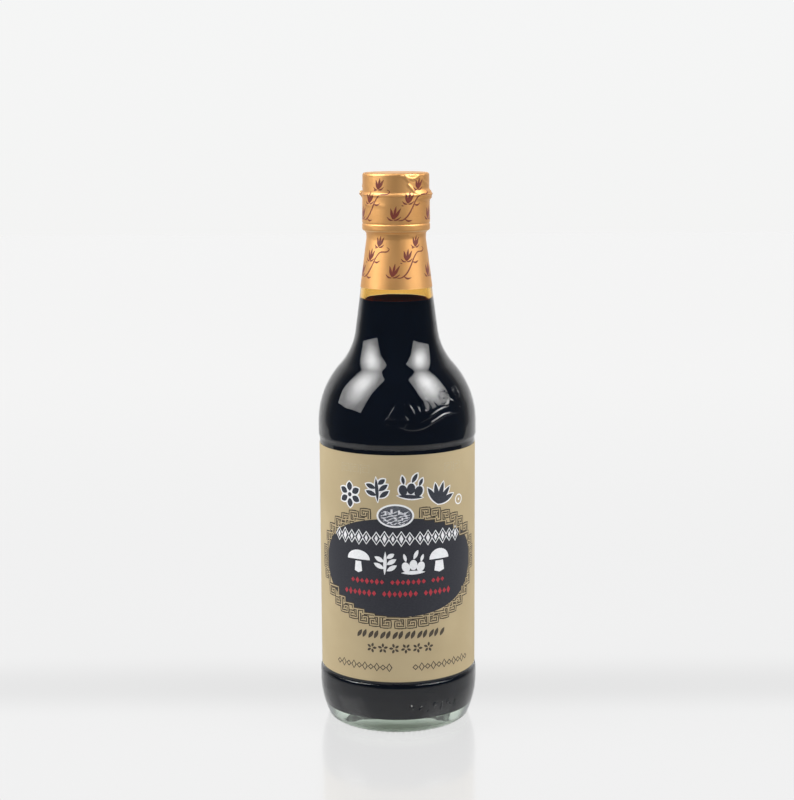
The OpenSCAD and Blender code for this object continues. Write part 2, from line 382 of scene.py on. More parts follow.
class Wire:
    """A node's output socket, on which Python's arithmetic adds Math nodes."""

    def __init__(self, socket):
        self.socket = socket

    def node(self, kind, settings, sockets, output=0):
        """Adds a node of this kind to the same tree, and returns one of its outputs."""
        made = self.socket.id_data.nodes.new("ShaderNode" + kind)
        for name, value in settings.items():
            if name == "stops":
                ramp = made.color_ramp.elements
                while len(ramp) < len(value):
                    ramp.new(1)
                for stop, (place, colour) in zip(ramp, value):
                    stop.position, stop.color = place, (*colour, 1)
            else:
                setattr(made, name, value)
        for name, value in sockets.items():
            if isinstance(value, Wire):
                self.socket.id_data.links.new(value.socket, made.inputs[name])
            elif isinstance(value, tuple) and made.inputs[name].type == "RGBA":
                made.inputs[name].default_value = (*value, 1)
            else:
                made.inputs[name].default_value = value
        return Wire(made.outputs[output])

    def math(self, operation, other=0.0):
        return self.node("Math", {"operation": operation}, {0: self, 1: other})

    def __add__(self, other):
        return self.math("ADD", other)

    def __sub__(self, other):
        return self.math("SUBTRACT", other)

    def __mul__(self, other):
        return self.math("MULTIPLY", other)

    def __rsub__(self, other):
        return (self * -1.0) + other

    def over(self, low, high):
        """0 up to low and 1 from high on, smooth between; high may be the lower one."""
        settings = {"interpolation_type": "SMOOTHSTEP"}
        return self.node("MapRange", settings, {"Value": self, "From Min": low, "From Max": high})

    def part(self, axis):
        return self.node("SeparateXYZ", {}, {0: self}, "XYZ".index(axis))

    def off_axis(self):
        """Distance from the upright axis."""
        return (self.part("X") * self.part("X") + self.part("Y") * self.part("Y")).math("SQRT")

    def scaled(self, x, y, z):
        return self.node("Mapping", {}, {"Vector": self, "Scale": (x, y, z)})

    def noise(self, scale, detail=3.0, rough=0.5):
        """Grain from 0 to 1 at so many waves a metre, about 0.5."""
        sockets = {"Vector": self, "Scale": scale, "Detail": detail, "Roughness": rough}
        return self.node("TexNoise", {}, sockets)

    def mix(self, a, b):
        """Colour a where this is 0, b where it is 1."""
        return self.node("Mix", {"data_type": "RGBA"}, {0: self, 6: a, 7: b}, 2)

    def bump(self, depth, strength=1.0, below=None):
        """A normal from this height, which is worth depth in metres."""
        sockets = {"Height": self, "Distance": depth, "Strength": strength}
        if below:
            sockets["Normal"] = below
        return self.node("Bump", {}, sockets)


def material(name, **fixed):
    """A new material with a Principled shader and its fixed values, and where a point is."""
    made = bpy.data.materials.new(name)
    made.use_nodes = True
    tree = made.node_tree
    shader = tree.nodes["Principled BSDF"]
    for socket, value in fixed.items():
        socket = shader.inputs[socket.replace("_", " ")]
        socket.default_value = (*value, 1) if isinstance(value, tuple) and socket.type == "RGBA" else value
    place = Wire(tree.nodes.new("ShaderNodeTexCoord").outputs["Object"])
    return made, shader, place


def plug(shader, **wires):
    """Links what varies over the surface to the shader's sockets."""
    for socket, wire in wires.items():
        shader.id_data.links.new(wire.socket, shader.inputs[socket.replace("_", " ")])


bottle_glass, shader, place = material("bottle_glass", IOR=1.52, Roughness=0.0)
shader.inputs["Transmission Weight"].default_value = 1.0
# Clear in the body, frosted by the knurls underfoot, and stained amber where sauce has run down
# the neck inside
clear, stain = (0.985, 0.995, 0.985), (0.94, 0.54, 0.12)
thick_run, thin_run = (1.0, 0.96, 0.86), (1.0, 1.0, 0.96)
height = place.part("Z")
ripple = place.noise(90, 1)
stippled = 1 - height.over(2.2 * MM, 3.4 * MM)
into_neck = place.off_axis() + (height - collar_z) * slope
inner_face = 1 - into_neck.over(bore_r + 0.8 * MM, bore_r + 1.4 * MM)
stained = height.over(sauce_z + 0.1 * MM, sauce_z + 0.4 * MM)
stained = stained * height.over(collar_z - 4 * MM, collar_z - 8 * MM)
run_down = place.scaled(1, 1, 0.4).noise(220, 3).over(0.3, 0.7).mix(thick_run, thin_run)
plug(
    shader,
    Base_Color=stained.mix(clear, inner_face.mix(stain, run_down)),
    Roughness=place.noise(600, 3).over(0.62, 0.9) * 0.05 + stippled * 0.34,
    Normal=ripple.bump(0.0004, 0.5),
)
volume = bottle_glass.node_tree.nodes.new("ShaderNodeVolumeAbsorption")
volume.inputs["Color"].default_value = (0.52, 0.80, 0.56, 1)
volume.inputs["Density"].default_value = 8
output = next(n for n in bottle_glass.node_tree.nodes if n.type == "OUTPUT_MATERIAL")
bottle_glass.node_tree.links.new(volume.outputs[0], output.inputs["Volume"])
finish(glass, bottle_glass, "bottle_glass", "glass_bottle")


# Soy sauce. A thin, almost black sauce that fills the bottle into the neck; it wets the glass,
# so its surface climbs a little at the wall, and a film of it colours the neck above.
into_wall, climb, climb_w = 0.15 * MM, 0.15 * MM, 2.4 * MM
body_line = [p for p in inside_outline(into_wall) if p[1] < sauce_z]
wall_r = bore_r + into_wall + slope * (collar_z - sauce_z)
surface_line = [
    (wall_r - climb_w * t, sauce_z + climb * (1 - t) ** 3) for t in (0, 0.1, 0.2, 0.35, 0.5, 0.7, 1)
]
sauce = lathe("sauce", single(body_line + surface_line + [(0, sauce_z)]), 160)
smooth(sauce, 60)
soy, shader, place = material("soy_sauce", Roughness=0.12, Specular_IOR_Level=0.0)
# Black in depth, with a painted blue cast that stands in for the bluish light of the room in front,
# red-brown on its surface, and painted pale underneath: a painted pool of light where the thick foot
# gathers the light
surface_red = (0.055, 0.009, 0.004)
height = place.part("Z")
on_top = height.over(sauce_z - 0.3 * MM, sauce_z - 0.05 * MM)
# Painted blue cast: the dark brown sauce is tinted blue for the bluish room light on it
depth_with_painted_blue = place.noise(60, 2).mix((0.0008, 0.0020, 0.0052), (0.0014, 0.0026, 0.0062))
floor_top = floor_z + floor_rise
# Painted light: the sauce over the middle of the foot is painted pale, for light that comes up through the
# thick glass
under = place.off_axis().over(floor_mid[0] + 1.5 * MM, floor_mid[0] + 0.5 * MM)
under = under * height.over(floor_top + 0.6 * MM, floor_top + 0.3 * MM)
painted_foot_light = place.noise(300, 3).mix((0.30, 0.34, 0.28), (0.38, 0.43, 0.35))
plug(shader, Base_Color=under.mix(on_top.mix(depth_with_painted_blue, surface_red), painted_foot_light))
finish(sauce, soy, "sauce", "soy_sauce")


# Capsule. A sleeve of satin gold film, shrunk over the cap and the top of the neck, and cut off
# straight below. It shows the cap's groove, rim, thumb lip and hinge through it, and the heat
# has drawn it into a few creases over the lip.
film_low, film_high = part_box("capsule")
film_out, film_t = 0.16 * MM, 0.12 * MM
cap_r, cap_z = 14.75 * MM, collar_top + 0.04 * MM
band_h, groove, skirt_h, rim_out = 2.9 * MM, 0.25 * MM, 15.7 * MM, 0.4 * MM
lid_z, lid_r = cap_z + skirt_h, cap_r - 0.28 * MM
lip_out, lip_turn, lip_shift = 0.95 * MM, math.radians(-10), 2.8 * MM
lip_half, knuckle_out, knuckle_w = 1.3 * MM, 1.25 * MM, 1.1 * MM
lid_round, tuck, rim_in = 1.1 * MM, 0.9 * MM, 0.15 * MM


def dense(path, pitch):
    """The path with no step longer than the pitch."""
    full = [path[0]]
    for a, b in zip(path, path[1:]):
        parts = max(1, math.ceil(math.dist(a, b) / pitch))
        full += [tuple(Vector(a).lerp(Vector(b), i / parts)) for i in range(1, parts + 1)]
    return full


film_side = soften(
    [
        (neck_r + slope * (collar_z - film_low.z) + film_out, film_low.z),
        (neck_r + film_out, collar_z),
        (collar_r + film_out, collar_top - tuck),
        (cap_r - tuck, cap_z - 0.1 * MM),
        (cap_r + film_out, cap_z + 0.5 * MM),
        (cap_r + film_out, cap_z + band_h),
        (cap_r + film_out - groove, cap_z + band_h + groove),
        (cap_r + film_out - groove, cap_z + band_h + 2 * groove),
        (cap_r + film_out, cap_z + band_h + 3 * groove),
        (cap_r + film_out - rim_in, lid_z - rim_out),
        (cap_r + film_out + rim_out - rim_in, lid_z),
        (cap_r + film_out + rim_out - rim_in, lid_z + rim_out),
        (lid_r + film_out, lid_z + 2.4 * rim_out),
        (lid_r + film_out, film_high.z - lid_round),
    ],
    0.45 * MM,
)
lid_edge = arc((lid_r + film_out - lid_round, film_high.z - lid_round), lid_round, 0, 86, 8)
film_line = dense(single(film_side + lid_edge), 0.45 * MM)
top_line = dense([film_line[-1], (0, film_high.z)], 1.2 * MM)
capsule = lathe("capsule", single(film_line + top_line[1:]), 250)


def film_at(z):
    """Radius of the outside of the film at height z, on the neck and on the cap's side."""
    for (r0, z0), (r1, z1) in zip(film_side, film_side[1:]):
        if z0 <= z <= z1:
            return r0 + (r1 - r0) * (z - z0) / max(z1 - z0, 1e-9)
    return film_side[0][0] if z < film_side[0][1] else film_side[-1][0]


film_folds = [  # points (round, height), how far it stands out and half its width, in millimetres
    ([(1.0, 245.2), (3.4, 244.2), (5.6, 242.2)], 0.30, 0.42),
    ([(4.0, 244.8), (5.4, 243.5), (7.6, 243.0), (9.8, 243.6), (11.2, 244.9)], 0.30, 0.40),
    ([(5.6, 240.6), (7.0, 239.2), (8.6, 237.4), (11, 236.9), (16, 237.3)], 0.34, 0.55),
    ([(12.4, 243.6), (15, 241.4), (19, 240.2)], 0.16, 0.6),
    ([(-16, 231.8), (-10, 232.2), (-5, 231.6)], 0.10, 0.7),
    ([(6.2, 218.9), (9.6, 218.6)], 0.16, 0.4),
    ([(-12, 217.4), (-4, 217.9), (2, 217.2)], 0.07, 0.5),
    ([(-30, 243.5), (-27, 240.8), (-22, 239.6)], 0.22, 0.5),
    ([(30, 244.4), (33.5, 241.6), (39, 240.9), (43, 243.2)], 0.26, 0.5),
    ([(34, 238.4), (40, 237.2), (46, 238.2)], 0.2, 0.55),
    ([(24, 217.8), (30, 218.6), (36, 217.6)], 0.12, 0.5),
]


def to_line(x, z, points):
    """Distance from (x, z) to the nearest of the steps between points."""
    least = 1e9
    for (x0, z0), (x1, z1) in zip(points, points[1:]):
        dx, dz = x1 - x0, z1 - z0
        t = min(1, max(0, ((x - x0) * dx + (z - z0) * dz) / (dx * dx + dz * dz)))
        least = min(least, math.hypot(x - x0 - t * dx, z - z0 - t * dz))
    return least


def shrink_on(piece):
    """Presses film, or print on it, over the cap's lip and hinge and into its creases."""
    for vertex in piece.data.vertices:
        spot = vertex.co
        r = spot.xy.length
        if r < cap_r / 2:
            continue
        turn = math.atan2(spot.x, -spot.y)
        x, z = turn * cap_r / MM, spot.z / MM
        out = 0.0
        for points, stands, half in film_folds:
            if min(p[0] for p in points) - 2 < x < max(p[0] for p in points) + 2:
                out += stands * math.exp(-((to_line(x, z, points) / half) ** 2)) * MM
        off_lip = math.atan2(spot.y, spot.x) - lip_turn
        edge = cap_r + lip_out - lip_shift
        reach = lip_shift * math.cos(off_lip) - cap_r
        reach += math.sqrt(edge**2 - (lip_shift * math.sin(off_lip)) ** 2)
        above = abs(spot.z - lid_z) / lip_half
        out += max(0, reach) * (1 if above < 1 else math.exp(-((above - 1) ** 2) * 3))
        round_by = math.remainder(off_lip - math.pi, math.tau) * cap_r
        near = math.hypot(round_by, (spot.z - lid_z) * 0.8) / knuckle_w
        out += knuckle_out * math.exp(-(near**2))
        fade = min(1, (r / cap_r - 0.5) * 2.2)
        spot.xy *= 1 + out * fade / r


shrink_on(capsule)
select_only(capsule)
sheet = capsule.modifiers.new("film", "SOLIDIFY")
sheet.thickness, sheet.offset = film_t, -1
bpy.ops.object.modifier_apply(modifier=sheet.name)
smooth(capsule, 50)

gold_film, shader, place = material("gold_film", Metallic=0.9, Specular_IOR_Level=0.5)
shader.inputs["Coat Weight"].default_value = 0.08
shader.inputs["Coat Roughness"].default_value = 0.15
drawn = place.scaled(1, 1, 3).noise(260, 4, 0.6)
fine = place.noise(2600, 2)
tone = place.scaled(1, 1, 0.4).noise(70, 3)
plug(
    shader,
    Base_Color=tone.over(0.35, 0.68).mix((0.60, 0.305, 0.102), (0.68, 0.365, 0.136)),
    Roughness=drawn * 0.10 + 0.46,
    Normal=drawn.bump(0.00012, 0.5, fine.bump(0.00001, 0.4)),
)
finish(capsule, gold_film, "capsule_foil", "capsule")


# Print on the film: a dark red-brown sprig of three tulips along a leafy stem, set five times
# round the cap and five times round the neck, each rising to the right.
def tulip(x, z, tall):
    """Strokes of a slanted tulip about (x, z): three petals and two small leaves."""
    shape = [
        [(-0.03, -0.5, 0.2), (-0.22, -0.1, 0.72), (-0.36, 0.26, 0.42), (-0.46, 0.46, 0.1)],
        [(0.03, -0.5, 0.2), (0.22, -0.1, 0.72), (0.36, 0.26, 0.42), (0.46, 0.46, 0.1)],
        [(0, -0.42, 0.2), (0, 0.06, 0.6), (0, 0.36, 0.48), (0, 0.64, 0.1)],
        [(-0.04, -0.58, 0.15), (-0.34, -0.52, 0.4), (-0.62, -0.28, 0.1)],
        [(0.04, -0.58, 0.15), (0.34, -0.52, 0.4), (0.62, -0.28, 0.1)],
    ]
    slant = 0.22
    return [
        vine([(x + (u + slant * v) * tall, z + v * tall, half) for u, v, half in stroke], 5)
        for stroke in shape
    ]


def sprig(x, z):
    """Strokes of one sprig whose first tulip is about (x, z)."""
    stem = [
        (1.6, -3.0, 0.14), (3.6, -2.7, 0.3), (5.8, -0.9, 0.38), (7.8, 2.2, 0.36), (9.8, 5.8, 0.34),
        (12.0, 8.0, 0.3), (15.2, 8.3, 0.3), (16.4, 9.4, 0.22), (15.2, 10.2, 0.12),
    ]
    leaves = [
        [(4.4, -2.3, 0.15), (6.0, -3.2, 0.46), (7.8, -2.8, 0.1)],
        [(8.8, 4.0, 0.15), (10.4, 3.6, 0.46), (12.0, 4.4, 0.1)],
    ]
    lines = tulip(x, z, 4.9) + tulip(x + 6.4, z + 6.6, 4.5) + tulip(x + 11.4, z + 12.5, 4.2)
    for stroke in [stem] + leaves:
        lines.append(vine([(x + u, z + v, half) for u, v, half in stroke], 7))
    for u, v in ((3.4, 3.4), (9.2, 9.8)):
        lines.append([(x + u, z + v - 0.2, 0.5), (x + u + 0.1, z + v + 0.2, 0.5)])
    return lines


sprigs = 5
pitch = math.tau * cap_r / MM / sprigs
print_top = 244.2
for name, x, z in (("cap_print", -0.6, 228.4), ("neck_print", -1.2, 203.6)):
    lines = [stroke for i in range(-2, sprigs - 2) for stroke in sprig(x + i * pitch, z)]
    if name == "cap_print":
        lines = [[p for p in stroke if p[1] < print_top] for stroke in lines]
    lines = [stroke for stroke in lines if len(stroke) > 1]
    print_piece = strokes(name, lines)
    thin(print_piece, 0.1)
    cut_columns(print_piece, 1.5 * MM)
    wrap(print_piece, film_at, cap_r)
    shrink_on(print_piece)
    smooth(print_piece)
    if name == "cap_print":
        film_ink, shader, place = material("film_ink", Roughness=0.42, Specular_IOR_Level=0.4)
        plug(shader, Base_Color=place.noise(900, 3).mix((0.11, 0.020, 0.012), (0.18, 0.040, 0.024)))
    finish(print_piece, film_ink, "capsule_foil")


# Paper label. One strip of matt uncoated paper, glued right round the panel, its right end
# lapped over its left end at the back. It is printed in navy, white, red and brown.
label_low, label_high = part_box("label")
label_r, paper_t, lap_w = panel_r + 0.04 * MM, 0.12 * MM, 9 * MM
paper_r = label_r + paper_t
strip_w, strip_h = math.tau * label_r + lap_w, label_high.z - label_low.z
bpy.ops.object.select_all(action="DESELECT")
bpy.ops.mesh.primitive_grid_add(x_subdivisions=230, y_subdivisions=24, size=1)
label = bpy.context.object
label.name = "label"
label.scale = (strip_w, strip_h, 1)
label.rotation_euler = (math.radians(90), 0, 0)
label.location = (0, 0, label_low.z + strip_h / 2)
bpy.ops.object.transform_apply()
lap_x = math.pi * label_r - lap_w / 2
for vertex in label.data.vertices:
    vertex.co.y -= paper_t * min(1, max(0, (vertex.co.x - lap_x) / MM + 1))
sheet = label.modifiers.new("paper", "SOLIDIFY")
sheet.thickness, sheet.offset = paper_t, 1
bpy.ops.object.modifier_apply(modifier=sheet.name)
wrap(label, lambda z: label_r, label_r)
smooth(label)

paper, shader, place = material("paper", Roughness=0.62, Specular_IOR_Level=0.25)
fibre = place.scaled(1, 1, 2.5).noise(900, 4, 0.6)
blotch = place.noise(45, 3)
cream, tan = (0.41, 0.328, 0.192), (0.355, 0.28, 0.158)
plug(
    shader,
    Base_Color=(blotch.over(0.3, 0.7) * 0.6 + fibre * 0.4).mix(tan, cream),
    Roughness=fibre * 0.12 + 0.55,
    Normal=fibre.bump(0.00003, 0.5),
)
finish(label, paper, "label_paper", "label")


def drawing(name, outlines, depth):
    """Filled shapes in an upright plane, so deep: each outline is [(x, z), ...]."""
    bpy.ops.object.select_all(action="DESELECT")
    bpy.ops.curve.primitive_bezier_curve_add(radius=MM)
    piece = bpy.context.object
    piece.name = name
    curve = piece.data
    curve.dimensions, curve.fill_mode = "2D", "BOTH"
    curve.splines.clear()
    for outline in outlines:
        spline = curve.splines.new("POLY")
        spline.points.add(len(outline) - 1)
        for point, (x, z) in zip(spline.points, outline):
            point.co = (x * MM, z * MM, 0, 1)
        spline.use_cyclic_u = True
    bpy.ops.object.convert(target="MESH")
    piece = bpy.context.object
    piece.rotation_euler = (math.radians(90), 0, 0)
    bpy.ops.object.transform_apply()
    slab = piece.modifiers.new("ink", "SOLIDIFY")
    slab.thickness, slab.offset = depth, 1
    bpy.ops.object.modifier_apply(modifier=slab.name)
    return piece


def oval(x, z, half_w, half_h, turn=0.0, steps=28, power=2.0):
    """Outline of an oval, or of a squarer one with a power above 2, turned by degrees."""
    outline = []
    for i in range(steps):
        a = math.tau * i / steps
        u = half_w * math.copysign(abs(math.cos(a)) ** (2 / power), math.cos(a))
        v = half_h * math.copysign(abs(math.sin(a)) ** (2 / power), math.sin(a))
        c, s = math.cos(math.radians(turn)), math.sin(math.radians(turn))
        outline.append((x + u * c - v * s, z + u * s + v * c))
    return outline


def leaf(x, z, length, width, turn, grow=0.0, steps=9):
    """Outline of a pointed leaf from (x, z), turned by degrees; grow widens it all round."""
    c, s = math.cos(math.radians(turn)), math.sin(math.radians(turn))
    edge = []
    for i in range(steps + 1):
        t = i / steps
        edge.append(((length + 2 * grow) * t - grow, (width / 2 + grow) * math.sin(math.pi * t) ** 0.8))
    outline = edge + [(u, -v) for u, v in reversed(edge[1:-1])]
    return [(x + u * c - v * s, z + u * s + v * c) for u, v in outline]


def print_on_label(name, piece, lift, colours, rough=0.5):
    """Lays a print on the paper, a little proud of it, in an ink mottled between two colours."""
    piece.name = name
    for vertex in piece.data.vertices:
        vertex.co.y -= lift
    cut_columns(piece, 1.6 * MM)
    wrap(piece, lambda z: paper_r, paper_r)
    smooth(piece)
    ink, shader, place = material(name + "_ink", Specular_IOR_Level=0.3)
    grain = place.scaled(1, 1, 2).noise(1100, 3)
    plug(shader, Base_Color=grain.over(0.3, 0.7).mix(*colours), Roughness=grain * 0.1 + rough)
    finish(piece, ink, "label_paper")


# The navy field, an oval with full sides
field_x, field_z, field_w, field_h = 0.8, 76.6, 38.4, 22.0
field = drawing("field", [oval(field_x, field_z, field_w, field_h, steps=160, power=2.2)], 0.02 * MM)
print_on_label("navy_field", field, 0, ((0.017, 0.018, 0.024), (0.024, 0.0245, 0.031)), 0.42)

# The key border round the field: a paper-coloured ribbon with dark edges, which hooks outwards
# at each step; every run of it is level or upright
rim_line = oval(field_x, field_z, field_w + 0.7, field_h + 0.7, steps=240, power=2.2)
round_field = sum(math.dist(a, b) for a, b in zip(rim_line, rim_line[1:] + rim_line[:1]))
key_count = 38
key_feet, run, passed = [], round_field / key_count, 0.0
for a, b in zip(rim_line, rim_line[1:] + rim_line[:1]):
    passed += math.dist(a, b)
    if passed >= run * (len(key_feet) + 0.5) and len(key_feet) < key_count:
        key_feet.append(a)
hook = [(-2.1, 0), (-2.1, 4.0), (1.8, 4.0), (1.8, 1.5), (-0.35, 1.5), (-0.35, 2.7)]
ribbon = []
for i, foot in enumerate(key_feet):
    off_x, off_z = (foot[0] - field_x) / field_w**2, (foot[1] - field_z) / field_h**2
    upright = abs(off_z) > abs(off_x) * 0.62
    away = math.copysign(1, off_z if upright else off_x)
    flip = 1 if i % 2 else -1
    if upright:
        path = [(foot[0] + u * flip, foot[1] + v * away) for u, v in hook]
    else:
        path = [(foot[0] + v * away, foot[1] + u * flip) for u, v in hook]
    after = key_feet[(i + 1) % key_count]
    step = [foot, (after[0], foot[1]), after] if upright else [foot, (foot[0], after[1]), after]
    ribbon += [dense(path, 1.4), dense(single(step, 0.05), 1.4)]
badge_x, badge_z = -1.0, 99.8
ribbon = [path for path in ribbon if all(math.dist(p, (badge_x, badge_z)) > 9.0 for p in path)]
for name, half, lift, colours in (
    ("key_edge", 0.84, 0.0, ((0.032, 0.024, 0.017), (0.056, 0.042, 0.028))),
    ("key_ribbon", 0.28, 0.05 * MM, (tan, cream)),
):
    piece = strokes(name, [[(x, z, half) for x, z in path] for path in ribbon])
    thin(piece, 0.06)
    print_on_label(name, piece, lift, colours)

# Faint square spirals in the two upper corners, a shade paler than the paper
faint = []
for x in (-24.5, -19.5, -14.5, 24.0, 29.0):
    corner = [(-2, -2), (-2, 2), (2, 2), (2, -1.2), (-0.9, -1.2), (-0.9, 0.9), (0.8, 0.9)]
    faint.append([(x + u, 119.6 + v, 0.24) for u, v in corner])
piece = strokes("faint", faint)
thin(piece, 0.03)
print_on_label("faint_spirals", piece, 0.0, ((0.35, 0.29, 0.185), (0.41, 0.345, 0.22)))


def placed(outlines, x, z, turn=0.0, size=1.0):
    """Outlines made so much larger, turned by degrees and moved to (x, z)."""
    c, s = size * math.cos(math.radians(turn)), size * math.sin(math.radians(turn))
    return [[(x + u * c - v * s, z + u * s + v * c) for u, v in outline] for outline in outlines]


def stamped(name, outlines, depth):
    """One piece of filled shapes that may overlap, each outline drawn by itself."""
    parts = [drawing(name, [outline], depth) for outline in outlines]
    select_only(*parts)
    bpy.ops.object.join()
    return bpy.context.object


# Four dark plant emblems in an arc, each with a white edge
def flower(grow=0.0):
    inner = 1.5
    turns = [math.tau * (i + 0.25) / 6 for i in range(6)]
    petals = [
        leaf(inner * math.cos(a), inner * math.sin(a), 3.9, 2.7, math.degrees(a), grow) for a in turns
    ]
    return petals + [oval(0, 0, 0.95 + grow, 0.95 + grow, steps=12)]


def branch(grow=0.0):
    shapes = [leaf(-0.4, -5.2, 10.4, 1.5, 88, grow)]
    for z, side, long in ((-3.4, 1, 5.0), (-2.4, 0, 5.0), (-0.6, 1, 4.8), (0.6, 0, 4.6), (2.2, 1, 3.8)):
        shapes.append(leaf(0.5 if side else -0.7, z, long, 2.0, 30 if side else 152, grow))
    return shapes


def fan(grow=0.0):
    return [leaf(0, -4.8, 9.6 - abs(i) * 0.4, 2.3, 90 + i * 25, grow) for i in (-2, -1, 0, 1, 2)]


def pods(grow=0.0):
    shapes = [
        oval(-3.3 + 3.3 * i, -0.9 - 0.9 * abs(i - 1), 1.75 + grow, 2.3 + grow, 20 - 20 * i, 18)
        for i in range(3)
    ]
    stalks = [
        (-5.4, -4.3, 10.8, 1.7, 0), (0.1, 1.6, 4.6, 1.7, 64), (-3.2, 0.6, 3.8, 1.4, 106),
        (3.3, 0.4, 3.6, 1.4, 70),
    ]
    return shapes + [leaf(x, z, long, wide, turn, grow) for x, z, long, wide, turn in stalks]


white = ((0.66, 0.66, 0.66), (0.74, 0.74, 0.74))
navy = ((0.022, 0.025, 0.034), (0.032, 0.035, 0.045))
emblems = [(flower, -22.2, 108.0), (branch, -8.8, 111.2), (pods, 6.0, 112.6), (fan, 19.8, 108.8)]
for name, grow, depth, colours in (
    ("emblem_edges", 0.6, 0.02 * MM, white),
    ("dark_emblems", 0.0, 0.04 * MM, navy),
):
    outlines = [
        outline for shape, x, z in emblems for outline in placed(shape(grow), x, z, -(x + 1) * 0.8, 1.04)
    ]
    print_on_label(name, stamped(name, outlines, depth), 0, colours)

# A band of dark lozenge beads with white edges and eyes, five, five and six of them
bead_rows, bead_pitch, bead_z = ((-28.6, 5), (-9.4, 5), (9.8, 6)), 3.65, 89.6
for name, grow, depth, colours in (
    ("bead_edges", 0.55, 0.04 * MM, white),
    ("dark_beads", 0.0, 0.06 * MM, navy),
    ("bead_eyes", -0.95, 0.08 * MM, white),
):
    outlines = []
    for first, count in bead_rows:
        for i in range(count):
            wide, tall = (1.9, 3.0) if i % 2 else (1.7, 2.5)
            outlines.append(oval(first + bead_pitch * i, bead_z, wide + grow, tall + grow, steps=4))
    print_on_label(name, stamped(name, outlines, depth), 0, colours)


# Four large white emblems: two mushrooms with a twig and pods between them
def mushroom(cap_w, cap_h, stalk_w):
    turns = [math.pi * i / 14 for i in range(15)]
    dome = [(cap_w * math.cos(a), 0.9 + cap_h * math.sin(a)) for a in turns]
    stalk = [(-stalk_w, 0.1), (stalk_w, 0.1), (stalk_w * 1.3, -4.2), (0, -5.0), (-stalk_w * 1.3, -4.2)]
    return [dome, stalk]


icons = [
    (mushroom(5.6, 4.2, 1.4), -18.0, 1.0), (branch(), -5.4, 1.02), (pods(), 6.8, 1.0),
    (mushroom(4.9, 4.6, 1.9), 19.0, 1.0),
]
outlines = [outline for shape, x, size in icons for outline in placed(shape, x, 78.7, 0, size)]
print_on_label("white_emblems", stamped("icons", outlines, 0.04 * MM), 0, white)

# Two red rows of small lozenges on the field, in groups, and below it brown rows of leaves, stars
# and open lozenges
red = ((0.30, 0.022, 0.032), (0.37, 0.032, 0.044))
brown = ((0.040, 0.030, 0.022), (0.066, 0.050, 0.036))
rows = []
red_pitch, red_w, group = 2.3, 0.95, 8
for z, first, count, half_h in ((70.2, -20.8, 19, 1.45), (64.9, -24.4, 22, 1.7)):
    for i in range(count):
        if (i + 1) % group:
            tall = half_h if i % 2 else half_h * 0.72
            rows.append(oval(first + red_pitch * i, z, red_w, tall, steps=4))
print_on_label("red_rows", stamped("rows", rows, 0.03 * MM), 0.01 * MM, red)

leaves = [leaf(-18.8 + 2.72 * i, 44.6, 4.2, 1.7, 66 if i % 2 else 56) for i in range(15)]
for i in range(6):
    x = -11.9 + 5.1 * i
    turns = [math.tau * k / 5 + 0.3 * i for k in range(5)]
    for a in turns:
        leaves.append(leaf(x + 0.4 * math.cos(a), 40.3 + 0.4 * math.sin(a), 1.95, 1.1, math.degrees(a)))
print_on_label("brown_leaves", stamped("leaves", leaves, 0.03 * MM), 0, brown)
lozenges = []
for first, count in ((-29.2, 10), (7.6, 11)):
    for i in range(count):
        x, tall = first + 2.8 * i, 1.75 if i % 2 else 1.1
        outline = oval(x, 31.6, 1.15, tall, steps=4)
        lozenges.append([(u, v, 0.32) for u, v in outline + outline[:1]])
piece = strokes("lozenges", lozenges)
thin(piece, 0.05)
print_on_label("brown_lozenges", piece, 0.01 * MM, brown)

# The badge over the top of the field: terraced hills and round trees in an oval frame, and a
# small white ring to the right of the emblems
rim_piece = drawing("badge", [oval(badge_x, badge_z, 8.2, 5.2, steps=48)], 0.09 * MM)
print_on_label("badge_rim", rim_piece, 0, white)
ground = drawing("ground", [oval(badge_x, badge_z, 7.4, 4.45, steps=48)], 0.10 * MM)
print_on_label("badge_ground", ground, 0, ((0.045, 0.048, 0.06), (0.10, 0.105, 0.12)))
hills = []
for i in range(6):
    z, half_w = badge_z - 3.5 + i, 6.36 * math.sqrt(1 - ((3.5 - i) / 4.6) ** 2)
    hills.append([
        (badge_x + half_w * t / 8, z + 0.45 * math.sin(t * 0.9 + i * 1.3), 0.16 + 0.12 * (t % 3 == 0))
        for t in range(-8, 9)
    ])
for x, z, r in ((-4.2, 1.0, 1.1), (-1.6, 2.0, 1.3), (1.6, 1.6, 1.2), (4.2, 0.8, 1.0), (3.0, -1.4, 0.9)):
    tree = [(badge_x + x + r * u, badge_z + z, r * 0.8) for u in (-0.35, 0.35)]
    hills.append(tree)
piece = strokes("hills", hills)
thin(piece, 0.03)
print_on_label("badge_scene", piece, 0.095 * MM, ((0.50, 0.50, 0.52), (0.70, 0.70, 0.71)))
circle = oval(30.4, 104.4, 2.1, 2.1, steps=24)
dot = [(30.0, 104.4, 0.6), (30.8, 104.4, 0.6)]
piece = strokes("ring", [[(u, v, 0.3) for u, v in circle + circle[:1]], dot])
thin(piece, 0.05)
print_on_label("white_ring", piece, 0, white)


# Cap. A two-part flip-top cap of moulded plastic under the film, with its hinge on the left and
# its thumb lip on the right.
cap_plastic, shader, place = material("cap_plastic", Roughness=0.38)
plug(
    shader,
    Base_Color=place.noise(150, 3).mix((0.72, 0.50, 0.20), (0.80, 0.58, 0.26)),
    Normal=place.noise(1800, 3).bump(0.00002, 0.5),
)
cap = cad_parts["cap"]
cap.data.materials.clear()
cap.data.materials.append(cap_plastic)
